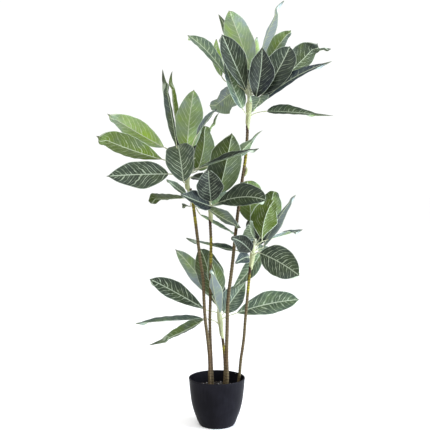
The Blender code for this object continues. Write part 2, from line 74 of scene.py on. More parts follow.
# The soil
SOIL_HEIGHT = 114
SOIL_RISE = 4
SOIL_RINGS = 46
SOIL_SEGMENTS = 150
SOIL_SINK = 1.5
SOIL_LUMPS = 2.6
SOIL_LUMP_SIZE = 13
SOIL_CRUMBS = 0.8
SOIL_CRUMB_SIZE = 2.6
SOIL_GAP = 0.5
SOIL_SKIRT = 20
SOIL_SKIRT_TAPER = 2.5
GRANULES = 620
GRANULE_SEED = 7
GRANULE_SIZES = (0.9, 2.6)
GRANULE_MARGIN = 4
GRANULE_LIFT = 0.25
GRIT_SHARE = 0.24
STONE_SIDES = 7
STONE_LEVELS = 4
STONE_FLATNESS = 0.8
STONE_ROUGHNESS = (0.7, 1.15)

# The canes
CANE_FOOT_HEIGHT = 45
CANE_FOOT_REACH = 0.78
CANE_RING_PITCH = 34
CANE_RING_RISE = 0.7
CANE_TIP_PLAIN = 30
CANE_FINE_RINGS = 4
CANE_FINE_RISE = 0.6
CANE_SLACK = 0.1
CANE_WANDER = 0.22
CANE_WANDERS = 0.7
CANE_RING_STEPS = 6
CANE_SIDES = 28
CANE_TIP_DARK = 16
GREEN_SOFTNESS = 8
GREEN_SLANT = 4
BUD_CANE = "cane_tall"
BUD_ROUTE = ((244.2, 176.5, -3), (245.8, 173, -4), (246.6, 169.5, -4), (246.2, 166.5, -3))
BUD_WIDTH = 8
BUD_SIDES = 16
LEAST_RADIUS = 0.3

# The leaves
BLADE_THICKNESS = 0.9
BLADE_EDGE = 0.3
BLADE_ROWS = 46
BLADE_LANES = 18
BLADE_KEEN_START = 0.55
BLADE_WANDER = 0.17
BLADE_WANDERS = 3.4
BLADE_BOW_START = 0.7
BLADE_BASE_WIDTH = 3.0
BLADE_LEAST = 0.1
BLADE_CHANNEL = 0.5
BLADE_CROWN = 0.18
BLADE_WAVE = 0.03
BLADE_WAVES = 1.6
BLADE_RIPPLE = 0.012
BLADE_RIPPLES = 6.5
TAIL_START = 0.5
TAIL_TAPER = 0.7
TAIL_ROLL = 1.5
TAIL_ROLL_RUN = 0.12
RIB_HEIGHT = 1.0
RIB_WIDTH = 1.5
MIDRIB_STEPS = 20
TINT_SPREAD = 0.08
GOLDEN_RATIO = 0.618034
STALK_WIDTH = 2.6
STALK_FOOT_WIDTH = 4.6
STALK_STEPS = 18
STALK_SIDES = 10
STALK_JOINT = 1.35
STALK_JOINT_RUN = (0.78, 0.86, 1.0, 0.94)
STALK_PALE = 0.45
STALK_RUN_IN = (0.03, 0.07, 0.12)
STALK_UNDER = 0.9
SHEATH_STEPS = 72
SHEATH_SIDES = 40
SHEATH_TIP = 9
SHEATH_TIP_WIDTH = 0.6
SHEATH_SNUG = 0.92
SHEATH_ROLL = 0.07
SHEATH_ROLL_TURNS = 1.3
SHEATH_RIBS = 9
SHEATH_RIB_RISE = 0.02
SHEATH_HEM = 3
SHEATH_HEM_RUN = (0.05, 0.08)
SHEATH_HEM_SLANT = 0.045
SHEATH_INSIDE = 3.2
COLLARS = (0.1, 0.3, 0.5, 0.7)
COLLAR_RISE = 0.55
COLLAR_SLANT = 0.08
COLLAR_TURN = 2.4
COLLAR_SOFTNESS = 0.012

# The pattern on the leaves
SIDE_VEINS = 10
VEIN_LEAN = 0.65
VEIN_BEND = 0.45
VEIN_STAGGER = 0.45
VEIN_WAVER = 1.3
MAIN_VEIN = (0.32, 0.03)
MINOR_VEIN = (0.82, 0.98)

# In metres: how far from the rib or margin each pale line begins and is full, the lighter green by the rib,
# and the half widths over which a tail turns into a leaf and a leaf gets its full rib and margin
RIB_RUN = (0.0019, 0.0006)
MARGIN_RUN = (0.002, 0.0005)
FEATHER_RUN = (0.014, 0)
BODY_RUN = (0.0012, 0.005)
BROAD_RUN = (0.003, 0.009)

# Colours, in linear light
SOILS = {
    "soil_crumbs": ((0.006, 0.0052, 0.005), (0.05, 0.045, 0.043)),
    "soil_loose": ((0.009, 0.008, 0.0075), (0.075, 0.062, 0.052)),
    "soil_grit": ((0.10, 0.10, 0.105), (0.34, 0.34, 0.35)),
}
POT_COLOURS = ((0.0046, 0.0044, 0.0062), (0.0085, 0.0083, 0.0115))
FLOOR_COLOURS = ((0.965, 0.965, 0.965), (0.985, 0.985, 0.985))
BARK_COLOURS = ((0.034, 0.021, 0.009), (0.108, 0.070, 0.031))
BARK_PATCH = (0.085, 0.070, 0.032)
BARK_LIT = (0.165, 0.120, 0.065)
BARK_FRESH = ((0.10, 0.08, 0.010), (0.29, 0.265, 0.022))
BARK_RING = (0.020, 0.012, 0.008)
BARK_TIP = (0.028, 0.012, 0.007)
STEM_COLOURS = ((0.145, 0.165, 0.055), (0.32, 0.335, 0.17))
STEM_PALE = (0.58, 0.60, 0.44)
STEM_EDGE = (0.16, 0.15, 0.06)

# The studio: each light's name, place, target, size, power and colour
FLOOR_REACH = 14
WORLD_STRENGTH = 1.05
LIGHTS = (
    ("key", (-0.9, -2.4, 3.4), (0, 0, 0.75), 2.0, 60, (1.0, 0.99, 0.96)),
    ("side", (2.6, -0.5, 1.2), (0, 0, 0.75), 1.8, 80, (0.82, 0.89, 1.0)),
    ("sheen", (1.5, -0.55, 0.3), (0, 0, 0.08), 0.9, 46, (0.76, 0.84, 1.0)),
)

Cane = namedtuple("Cane", "name low_width high_width green_rows route")

# A crown is the route and widths of its sheath, and its leaves. A leaf runs from base by middle to tip on
# the layout, and its upper face looks towards faces: AWAY shows its underside. turn twists it, in degrees.
# reach, full, blunt and keen shape its outline, tail and bow its tip and wave its surface. light is painted
# light and shade: the whole leaf made lighter or darker as it was lit. warm makes it more yellow. Two more
# numbers mix in a grey-blue that is partly the leaf's grey and partly painted sheen, and give one half of
# the blade more of it than the other. bold, rim and lean set how veins and margin show.
AWAY = (0, 1, 0)
RISING = (0, -0.7, 0.7)
Crown = namedtuple("Crown", "name route widths leaves")
LEAF_USUALS = dict(turn=0, reach=0.96, full=0.5, blunt=1.35, tail=4.4, bow=0, wave=1,
                   cool=0, split=0, warm=0, bold=1, rim=0.8, lean=1, keen=0.3)
Leaf = namedtuple("Leaf", ["base", "middle", "tip", "width", "faces", "light", *LEAF_USUALS],
                  defaults=LEAF_USUALS.values())

CANES = (
    Cane("cane_left", 10.0, 9.0, (199, 226), (
        (209.8, 383, -20), (209.6, 360, -20), (207.8, 340, -19), (205.3, 320, -18), (204, 300, -17),
        (203.2, 280, -16), (200.3, 260, -15), (196.5, 230, -13), (193.2, 205, -11), (190.2, 188.5, -10),
    )),
    Cane("cane_middle", 9.3, 8.5, (238, 263), (
        (212.3, 383, 3), (211.3, 360, 3), (210.3, 340, 3), (209.9, 320, 3), (210.3, 300, 3),
        (210.7, 270, 4), (211, 248, 4), (210.8, 236, 5), (209.9, 218, 5),
    )),
    Cane("cane_tall", 11.4, 8.6, (151, 166), (
        (227, 381, -15), (226.6, 355, -14), (227.1, 330, -13), (228.1, 300, -11), (232.3, 265, -9),
        (235.6, 233, -7), (238.2, 210, -5), (242.2, 180, -3), (245.4, 159, -1), (247.2, 137, 0),
        (247.4, 124.5, 0),
    )),
    Cane("cane_right", 9.3, 8.6, (275, 296), (
        (238.8, 380, 18), (240.8, 360, 17), (243.7, 340, 15), (245.3, 320, 13), (247.1, 300, 10),
        (249, 280, 7), (250.3, 266.5, 5),
    )),
    Cane("cane_short", 8.6, 8.0, (343, 356), (
        (224.6, 380, 16), (224.8, 365, 22), (223.9, 350, 27), (222.4, 336.5, 32),
    )),
)

TOP_LEAVES = (
    Leaf((226, 75.5, -10), (206.8, 51.2, 20), (187.5, 35, 55), 60, (0.55, -0.72, 0.5), 0.7, full=0.6,
         blunt=1.75, keen=0),
    Leaf((221.5, 76, 30), (217, 57, 50), (216.4, 38.9, 70), 31, AWAY, 0.3, warm=0.5),
    Leaf((241, 60, 60), (229.8, 35.2, 85), (218.4, 14.4, 105), 32, AWAY, -1.3, cool=0.4),
    Leaf((251, 71, 35), (239.8, 38.5, 50), (228.7, 10.4, 55), 82, AWAY, 0.2, reach=0.98, full=0.53,
         blunt=1.5, cool=0.3, lean=1.8, keen=0),
    Leaf((246, 89.5, -25), (234, 62, -40), (221.8, 34, -45), 74, (0.4, -0.9, 0.18), -1.15, reach=0.97,
         full=0.58, blunt=1.6, bold=0.8, lean=1.4, keen=0),
    Leaf((242.5, 108.5, -12), (231.5, 83.5, -18), (224, 57, -14), 66, (0.69, -0.68, 0.25), 0.35, full=0.42,
         blunt=1.25, cool=0.25, split=-1, bold=1.2),
    Leaf((255.8, 97.5, -25), (260.7, 71, -30), (262, 47.4, -15), 76, (0.2, -0.97, 0), -1.8, reach=0.99,
         full=0.47, blunt=1.8, cool=0.4, split=1, bold=0.6, keen=0.2),
    Leaf((262, 95, -5), (277.5, 71.2, -15), (290, 46, -5), 84, (0, -1, 0.1), -1, reach=0.98, full=0.6,
         blunt=1.65, cool=0.1, split=1, bold=0.7, keen=0),
    Leaf((258.5, 64, 20), (268.6, 31.5, 35), (284.6, 0.4, 55), 48, (0.84, 0.5, -0.33), 0.25, reach=0.88,
         tail=11, bow=8, wave=2, cool=0.8, bold=1.6),
    Leaf((264.5, 66, 25), (277.3, 47, 50), (291, 30, 80), 56, (-0.3, 0.9, 0.3), -0.4, blunt=1.4, cool=0.4,
         split=-1, warm=0.2, keen=0),
    Leaf((272, 88, 20), (297, 65, 30), (317.8, 43.3, 35), 90, (-0.4, 0.8, 0.44), -2, reach=0.97, full=0.6,
         blunt=1.75, cool=0.3, split=1, warm=0.4, lean=1.3, keen=0),
    Leaf((276, 80, 60), (305, 57, 85), (331.3, 48.8, 100), 55, (-0.49, 0.05, 0.87), -2.6),
    Leaf((260, 104, -5), (291, 79.5, -28), (332, 61.2, -40), 54, (-0.42, -0.62, 0.66), -0.3, reach=0.9,
         tail=6, cool=0.9, bold=0.5, rim=0.4),
    Leaf((250.5, 102, -12), (260, 98.5, -60), (251, 112.5, -105), 54, (0, -0.3, 1), 0.5, cool=0.3, bold=2),
    Leaf((267, 111.3, -10), (291.5, 112.2, -20), (333.8, 115.8, -25), 54, (0.07, -0.6, 0.79), -0.6,
         reach=0.8, tail=6, bold=0.8, rim=0.3),
    Leaf((242, 86.5, 10), (226.4, 97.2, 60), (212.8, 108.2, 112), 88, (0.35, 0.85, -0.35), -0.2, reach=0.97,
         blunt=1.1, wave=2.5, cool=0.5, bold=1.8, keen=0),
    Leaf((251.2, 72, 50), (254.2, 55, 70), (257.2, 36.7, 85), 34, (0.6, 0.8, 0), 1.6),
    Leaf((245, 92, 25), (238, 74, 90), (237, 62, 150), 74, RISING, -1.1),
    Leaf((255, 92, 25), (265, 79, 90), (272, 70, 150), 74, RISING, -1.2),
    Leaf((249, 95, 22), (249, 87, 95), (250, 85, 165), 74, (0, -0.5, 0.85), -1.7),
)

LEFT_LEAVES = (
    Leaf((163.8, 147.2, 15), (138, 133, 20), (107, 113.6, 20), 69, (0.22, 0.89, 0.38), 0.3, full=0.56,
         blunt=1.6, warm=0.2, bold=1.6, lean=1.2, keen=0),
    Leaf((162.5, 159.5, -20), (130, 149.3, -40), (96, 135.8, -40), 83, (0.2, 0.8, 0.56), -0.6, full=0.61,
         blunt=1.75, warm=0.6, bold=1.4, keen=0),
    Leaf((168.5, 174, -30), (138, 174.5, -45), (106, 176.3, -60), 80, (0, -0.99, 0.1), -0.85, full=0.47,
         blunt=1.6, wave=1.5, bold=1.5, keen=0),
    Leaf((183.5, 181.5, -30), (180.3, 157.5, -26), (178, 144.7, 30), 88, (0, -1, 0.1), -0.45, bold=1.5,
         keen=0),
    Leaf((187, 152, 45), (189.3, 121, 50), (194, 89.5, 50), 84, AWAY, -0.15, reach=0.98, blunt=1.25,
         cool=0.25, warm=0.2, bold=1.3, lean=1.3, keen=0.1),
    Leaf((176.5, 146, 0), (170.2, 108, 0), (162.5, 69.3, 5), 50, (-0.85, 0.46, 0), -2.1, reach=0.82,
         full=0.6, tail=10, bow=8, bold=0.5),
    Leaf((179, 132, 74), (173.4, 101, 76), (172.4, 71, 78), 38, (0.85, 0.5, 0), -0.8, reach=0.8, tail=10,
         bow=7, warm=1),
    Leaf((197, 135, 30), (206.7, 121, 30), (217, 108.3, 25), 38, (-0.72, 0.42, 0.54), -1.6, cool=0.7),
    Leaf((203, 148, 90), (210.5, 130, 115), (219, 112.8, 122), 27, (-0.7, 0.5, 0.4), -0.4, reach=0.7, tail=8,
         bow=5),
    Leaf((197.5, 170, 15), (203.6, 147.5, 55), (203.8, 126.5, 90), 92, (-0.35, 1, 0), -1.1, reach=0.98,
         blunt=1.25, warm=0.6, lean=1.5, keen=0),
    Leaf((199, 167.8, -45), (229.5, 158, -93), (259, 148.3, -117), 60, (-0.3, -0.2, 0.95), -1.3, reach=0.93,
         tail=6, bow=-3, cool=0.2, bold=0.5, rim=1),
    Leaf((236, 157, -12), (247, 145.5, -28), (262.7, 130.3, -42), 32, AWAY, -0.2, reach=0.72, tail=9, bow=3,
         cool=0.4),
    Leaf((192, 176.5, 0), (197.5, 178, 30), (203, 181, 58), 44, (0, 0.8, 0.7), -2.3, cool=0.4),
    Leaf((187, 195, -14), (177.5, 188.5, -40), (166.5, 179.3, -65), 32, (0.35, -0.7, 0.6), -0.1),
    Leaf((187, 197.6, 0), (166, 199, 45), (151.5, 198.6, 110), 55, (0, 0.5, 0.85), -1.6, turn=10, full=0.6,
         blunt=1, warm=0.3, keen=0),
    Leaf((190.3, 206.5, 10), (187, 206.2, 44), (182.5, 207.1, 68), 34, (0, 0.5, 0.85), -1.9),
    Leaf((201, 215, 30), (217, 225.3, 42), (236, 234, 44), 36, (0.45, -0.26, 0.85), 0.6),
    Leaf((188, 165, 20), (185, 136, 85), (184, 116, 130), 72, RISING, -2.5),
    Leaf((193, 170, 22), (200, 161, 100), (204, 156, 165), 72, RISING, -0.2),
    Leaf((184, 172, 15), (177, 164, 85), (174, 161, 150), 70, RISING, -0.8),
)

MIDDLE_LEAVES = (
    Leaf((218.5, 193, -8), (226.8, 160, -45), (231.8, 132.8, -58), 100, (-0.2, 1, 0), -1.7, reach=0.97,
         full=0.36, blunt=1.2, warm=0.4, bold=0.9, rim=1, lean=1.2, keen=0),
    Leaf((211, 201, -25), (209.3, 184, -62), (208.3, 169.8, -80), 77, (0, -1, 0.25), -2.3, reach=0.98,
         blunt=1.3, cool=0.2, bold=2, rim=1, keen=0.2),
    Leaf((218, 202.9, -20), (243.5, 197, -60), (266, 200.4, -90), 77, (-0.03, -0.85, 0.52), -1, reach=0.98,
         full=0.6, bold=0.9, keen=0.2),
    Leaf((210, 206, -20), (195.5, 200.5, -60), (180.5, 194, -92), 62, (0.2, -0.8, 0.6), -1.4, full=0.42,
         cool=0.8, bold=0.6),
    Leaf((207, 207.5, -18), (222.7, 217.8, -45), (241, 227.8, -50), 50, (0.37, 0.72, 0.6), -1, full=0.54,
         cool=0.15, bold=1.2),
    Leaf((211, 200, 20), (218, 181, 85), (225, 168, 135), 74, RISING, -0.5),
    Leaf((213, 206, 18), (225, 199, 85), (236, 196, 150), 74, RISING, 0.9),
    Leaf((208, 206, 15), (203, 207, 75), (200, 206, 135), 70, RISING, 0),
)

RIGHT_LEAVES = (
    Leaf((260.5, 236, 35), (268.5, 212, 55), (273.6, 191.4, 75), 78, AWAY, -0.9, reach=0.99, blunt=1,
         warm=0.2, rim=0.9, lean=1.5, keen=0),
    Leaf((262, 240, -15), (264.5, 220, -22), (272.5, 201.5, 20), 84, AWAY, -1.3, reach=0.98, full=0.62,
         blunt=1.9, warm=1.2, bold=1.6, rim=1.3, lean=1.7, keen=0),
    Leaf((263.5, 246.5, 5), (276.8, 221, 10), (296, 194.7, 10), 40, (0.7, 0.55, -0.45), -0.1, cool=1,
         bold=0.8),
    Leaf((251, 221.5, 20), (249.5, 200, 40), (247, 180.8, 50), 86, AWAY, -0.4, reach=0.99, full=0.6,
         blunt=1.05, warm=0.4, keen=0),
    Leaf((255, 240, -5), (250.5, 230.5, -45), (249.5, 221.5, -90), 50, (-0.66, 0.75, 0.1), -1.6, cool=0.4,
         bold=2.2),
    Leaf((251, 251.5, -20), (241.5, 242.3, -80), (231.3, 238, -125), 50, (0, -1, 0.1), -3.1, bold=1),
    Leaf((270.5, 239, 10), (286, 234.5, 60), (302.8, 229.5, 115), 44, (-0.2, -0.1, 0.97), -0.6, turn=45,
         reach=0.84, tail=11, bow=-3, cool=0.6, bold=0.5),
    Leaf((260, 253, -25), (280, 262.5, -75), (299.5, 275.8, -115), 90, (0, -1, 0), -0.6, reach=0.97,
         full=0.55, blunt=1.45, bold=1.5, keen=0),
    Leaf((261, 252, 22), (250.5, 269, 22), (231.8, 289.5, 25), 45, (0, -1, 0.2), 0.5, bold=1.4),
    Leaf((249, 257, -8), (243, 258.5, -45), (235.3, 263.5, -72), 37, (0, -1, 0.2), -0.3, cool=0.8),
    Leaf((235.5, 250.3, 30), (209, 245, 42), (185.7, 237.8, 46), 46, (-0.1, 0.1, 1), -0.4, turn=40,
         reach=0.8, tail=12, bow=3, cool=0.4, bold=0.3),
    Leaf((258, 246, 20), (262, 226, 90), (264, 214, 150), 76, RISING, -0.3),
    Leaf((254, 244, 15), (255, 228, 85), (257, 213, 140), 62, RISING, -0.9),
    Leaf((258, 250, 15), (271, 256, 85), (280, 260, 150), 74, RISING, 0.2),
)

LOW_LEAVES = (
    Leaf((219.5, 312.5, 5), (214, 291, -30), (211.5, 268, -38), 54, (0.8, 0.59, 0.08), 0.1, wave=2, cool=1,
         bold=0.8, rim=1.4),
    Leaf((213, 298.5, 60), (195.5, 272, 75), (175, 249, 85), 52, AWAY, -0.1, full=0.54, cool=0.45, keen=0.1),
    Leaf((214.5, 295.5, 50), (208.5, 271, 60), (200.6, 248.5, 75), 82, AWAY, -1.35, reach=0.98, blunt=1.1,
         cool=0.1, warm=0.3, keen=0),
    Leaf((217.5, 295, 42), (216, 277, 40), (208, 254, 45), 52, AWAY, -0.9, cool=0.1),
    Leaf((204, 309, 30), (177, 293.2, 25), (149.3, 278.8, 15), 60, (0.1, -0.85, 0.5), -0.9, reach=0.97,
         full=0.6, blunt=1.7, bold=1.5, keen=0),
    Leaf((203, 318.8, 30), (170, 320.8, 20), (135, 323.2, 10), 60, (0, -0.1, 1), 0.4, reach=0.92, tail=7,
         cool=0.2, bold=0.3, rim=0.3),
    Leaf((203.3, 320, 22), (178.5, 333.6, -5), (148.3, 345.2, -25), 60, (-0.32, 0.65, 0.68), -1.6,
         reach=0.78, tail=10, warm=0.2, rim=0.6),
    Leaf((224, 313, 50), (233.5, 298, 70), (246, 282, 85), 68, (0, -1, 0.2), 0.1, cool=0.2, bold=1.5),
    Leaf((237, 313, 45), (268, 304, 40), (299.5, 299.6, 30), 72, (0, -0.89, 0.46), 0.2, reach=0.97,
         full=0.58, blunt=1.5, bold=1.4, keen=0),
    Leaf((218, 306, 60), (216, 291, 120), (215, 281, 175), 56, RISING, -0.3),
    Leaf((222, 310, 60), (229, 303, 125), (235, 299, 180), 70, RISING, -0.6),
)

CROWNS = (
    Crown("crown_left",
          ((188.6, 193, -9), (187.2, 185, -9), (187.2, 178, -9), (188.8, 170, -7), (189.5, 161, -4)),
          (12, 14, 15, 11, 5), LEFT_LEAVES),
    Crown("crown_middle",
          ((210.6, 222, 5), (210.7, 216, 4), (210.3, 210, 3), (209.3, 203, 2), (208.6, 196, 1)),
          (11, 13, 14, 11, 5), MIDDLE_LEAVES),
    Crown("crown_top",
          ((247.3, 130.5, 0), (247.9, 121, 0), (248.7, 112, 0), (249.3, 104.5, 1), (249, 100, 1),
           (248, 88, 2)),
          (10.5, 13, 17, 22, 11, 8), TOP_LEAVES),
    Crown("crown_right",
          ((250.6, 269, 5), (251.3, 263, 4), (252.3, 256, 3), (253.5, 249, 2), (255.3, 241, 1)),
          (11, 13.5, 17, 14, 7), RIGHT_LEAVES),
    Crown("crown_low",
          ((222.7, 341, 32), (221.3, 331, 33), (220.2, 321, 34), (219.4, 314, 34), (218.6, 307, 34)),
          (9.5, 12.5, 17, 16, 7), LOW_LEAVES),
)


# Materials

class Value:
    """A number that varies over a surface, as the output of a node."""

    def __init__(self, finish, socket):
        self.finish = finish
        self.socket = socket

    def __add__(self, other):
        return self.finish.math("ADD", self, other)

    def __sub__(self, other):
        return self.finish.math("SUBTRACT", self, other)

    def __mul__(self, other):
        return self.finish.math("MULTIPLY", self, other)

    def size(self):
        return self.finish.math("ABSOLUTE", self)

    def cycle(self):
        return self.finish.math("FRACT", self)


class Finish:
    """A material's node tree, with short ways to add nodes to it."""

    def __init__(self, name):
        self.material = bpy.data.materials.new(name)
        self.material.use_nodes = True
        self.nodes = self.material.node_tree.nodes
        self.shader = self.nodes["Principled BSDF"]
        self.spot = self.coordinates("Object")

    def feed(self, socket, value):
        """Sets a socket to a number or colour, or links it to another node."""
        if isinstance(value, Value):
            self.material.node_tree.links.new(value.socket, socket)
        elif isinstance(value, tuple):
            socket.default_value = (*value, 1) if len(value) == 3 and socket.type == "RGBA" else value
        else:
            socket.default_value = value

    def node(self, kind, *values, operation=None, **named):
        """A new node, with values for its first inputs and for the inputs of some names."""
        node = self.nodes.new("ShaderNode" + kind)
        if operation:
            node.operation = operation
        for socket, value in zip(node.inputs, values):
            self.feed(socket, value)
        for name, value in named.items():
            self.feed(node.inputs[name], value)
        return node

    def math(self, operation, *values):
        return Value(self, self.node("Math", *values, operation=operation).outputs[0])

    def ramp(self, value, low, high, start=0.0, end=1.0):
        """A smooth step: start where the value is low, end where it is high. low may be the larger."""
        node = self.node("MapRange", value, low, high, start, end)
        node.interpolation_type = "SMOOTHSTEP"
        return Value(self, node.outputs[0])

    def attribute(self, name, output="Fac"):
        """A value that the mesh keeps at its vertices."""
        node = self.node("Attribute")
        node.attribute_name = name
        return Value(self, node.outputs[output])

    def coordinates(self, kind="UV", stretch=(1, 1, 1)):
        """A place on the surface, or in space in metres, stretched along its axes."""
        source = Value(self, self.node("TexCoord").outputs[kind])
        return Value(self, self.node("Mapping", Vector=source, Scale=stretch).outputs[0])

    def parts(self, vector):
        """The three numbers of a place or a colour."""
        return [Value(self, output) for output in self.node("SeparateXYZ", vector).outputs]

    def noise(self, scale, detail, roughness=0.55, at=None):
        node = self.node("TexNoise", Vector=at or self.spot, Scale=scale, Detail=detail, Roughness=roughness)
        return Value(self, node.outputs[0])

    def cells(self, scale):
        """The distance to the nearest of many scattered points."""
        return Value(self, self.node("TexVoronoi", Vector=self.spot, Scale=scale).outputs["Distance"])

    def mix(self, share, first, second):
        """One colour where share is 0, the other where it is 1."""
        node = self.node("Mix", share)
        node.data_type = "RGBA"
        self.feed(node.inputs[6], first)
        self.feed(node.inputs[7], second)
        return Value(self, node.outputs[2])

    def scaled(self, colour, gain):
        """A colour made lighter or darker."""
        return Value(self, self.node("VectorMath", colour, operation="SCALE", Scale=gain).outputs[0])

    def bump(self, height, distance, strength=1.0):
        node = self.node("Bump", Height=height, Distance=distance, Strength=strength)
        self.feed(self.shader.inputs["Normal"], Value(self, node.outputs[0]))

    def surface(self, colour, roughness, specular):
        self.feed(self.shader.inputs["Base Color"], colour)
        self.feed(self.shader.inputs["Roughness"], roughness)
        self.shader.inputs["Specular IOR Level"].default_value = specular
        return self.material


LeafLook = namedtuple(
    "LeafLook", "ground pale vein rib margin cool warm tail veins halo patches roughness specular")

# In each look the grey-blue colour is partly the leaf's grey and partly painted sheen, a bluish reflection
UPPER_LOOK = LeafLook(
    ground=(0.034, 0.053, 0.029), pale=(0.080, 0.114, 0.060), vein=(0.30, 0.355, 0.255),
    rib=(0.36, 0.42, 0.31), margin=(0.40, 0.46, 0.36), cool=(0.030, 0.044, 0.066),
    warm=(0.11, 0.17, 0.02), tail=(0.05, 0.062, 0.036),
    veins=0.78, halo=0.5, patches=0.15, roughness=0.46, specular=0.15)

# The underside's ground and pale greens are the leaf's own paler green, made lighter still with painted
# light shining through the blade
UNDER_LOOK = LeafLook(
    ground=(0.134, 0.200, 0.054), pale=(0.19, 0.265, 0.088), vein=(0.38, 0.44, 0.28),
    rib=(0.38, 0.44, 0.29), margin=(0.46, 0.53, 0.40), cool=(0.19, 0.235, 0.245),
    warm=(0.15, 0.24, 0.012), tail=(0.085, 0.10, 0.062),
    veins=0.5, halo=0.5, patches=0.55, roughness=0.55, specular=0.14)


def leaf_material(name, look):
    """Pale side veins that lean and bend towards the tip, a pale rib and a thin pale margin on green."""
    finish = Finish(name)
    along, across = finish.parts(finish.coordinates())[:2]
    offset = across * 2 - 1
    out = offset.size()
    half = finish.attribute("half_width")
    ratio = finish.attribute("half_ratio")
    # light is each leaf's painted light and shade; the second part is how much grey-blue, partly grey and
    # partly painted sheen, it gets; warm is a yellow hue
    light, cool, warm = finish.parts(finish.attribute("tint", "Vector"))
    bold, rim, leaning = finish.parts(finish.attribute("habit", "Vector"))
    # Which half of the blade gets more of the painted sheen, and which gets less
    split = finish.attribute("split")
    cloud = finish.noise(34, 2)
    speck = finish.noise(210, 3)
    patch = finish.noise(17, 2)

    # The side veins: count grows by one from vein to vein, and far is how far the nearest one is
    lean = ratio * leaning * (out * VEIN_LEAN + out * out * VEIN_BEND)
    side = finish.math("GREATER_THAN", offset, 0.0)
    count = (along - lean) * SIDE_VEINS + side * VEIN_STAGGER + (cloud - 0.5) * VEIN_WAVER
    far = (count.cycle() - 0.5).size() * 2
    uneven = finish.ramp(finish.noise(60, 1), 0.38, 0.62, 0.25)
    outward = finish.ramp(out, 0.3, 1.0, 1.0, 0.45) * finish.ramp(along, 0.86, 1.0, 1.0, 0.2)
    fade = uneven * outward * bold
    main = finish.ramp(far, *MAIN_VEIN) * fade
    minor = finish.ramp(far, *MINOR_VEIN) * fade * 0.5
    fine = ((count * 4).cycle() - 0.5).size() * 2
    halo = finish.ramp(far, 1.0, 0.0)

    # The rib and the margin, both thinner where the blade is narrow
    from_rib = out * half
    body = finish.ramp(half, *BODY_RUN)
    broad = finish.ramp(half, *BROAD_RUN)
    feather = finish.ramp(from_rib, *FEATHER_RUN)
    rib = finish.ramp(from_rib, *RIB_RUN) * (broad * 0.8 + 0.2)
    inward = finish.math("DIVIDE", half - from_rib, finish.math("MAXIMUM", rim, 1.0))
    margin = finish.ramp(inward, *MARGIN_RUN) * broad

    # The green between the veins, then what lies over it: a grey-blue that is partly grey patches and partly
    # painted sheen, yellow, painted light and shade, the tail's colour, the veins, the margin and the rib
    shade = halo * look.halo * bold + feather * 0.25 + (speck - 0.5) * 0.7 + (cloud - 0.5) * 0.9
    green = finish.mix(shade + fine * 0.12, look.ground, look.pale)
    # Painted sheen: grey-blue per leaf, more on one half and towards the margins, over grey patches that are
    # the leaf's own
    sheen_half_share = finish.math("MULTIPLY_ADD", finish.ramp(offset, -0.04, 0.04, -1.0, 1.0), split, 1.0)
    grey = finish.ramp(patch, 0.32, 0.5, look.patches, 0.0) + out * out * cloud * 0.6
    greyed_and_sheened = finish.mix(cool * sheen_half_share * 0.8 + grey, green, look.cool)
    yellow = finish.ramp(patch, 0.5, 0.68, 0.0, look.patches)
    tinted = finish.mix(warm * 0.75 + yellow, greyed_and_sheened, look.warm)
    # Painted light and shade: the whole leaf's green lighter or darker as it was lit, with a random flicker
    painted_lit_green = finish.scaled(tinted, finish.math("POWER", 2.0, light + (cloud - 0.5) * 0.7))
    dried = finish.mix(body, look.tail, painted_lit_green)
    lined = finish.mix((main + minor) * look.veins, dried, look.vein)
    edged = finish.mix(margin * rim, lined, look.margin)
    ribbed = finish.mix(rib, edged, look.rib)
    # Painted light and shade again, milder, over the veins, margin and rib as well
    lit = finish.math("POWER", 1.25, light)
    finish.bump(main * 0.5 + rib * 0.8 + speck * 0.35 + fine * 0.1 - halo * 0.3, 0.7 * MM)
    rough = speck * 0.16 + (look.roughness - 0.08)
    return finish.surface(finish.scaled(ribbed, lit), rough, look.specular)


def stem_material(name):
    """Pale yellow-green with fine streaks along it, whiter towards a shoot's tip."""
    finish = Finish(name)
    pale = finish.attribute("pale")
    edge = finish.attribute("edge")
    streaks = finish.noise(3.0, 3, at=finish.coordinates(stretch=(2.5, 26, 1)))
    cloud = finish.noise(60, 2)
    green = finish.mix(finish.ramp(streaks, 0.3, 0.7), *STEM_COLOURS)
    washed = finish.mix(pale, green, STEM_PALE)
    rimmed = finish.mix(edge * 0.8, washed, STEM_EDGE)
    finish.bump(streaks + cloud * 0.3, 0.5 * MM, 0.7)
    return finish.surface(finish.scaled(rimmed, cloud * 0.7 + 0.65), cloud * 0.2 + 0.4, 0.3)


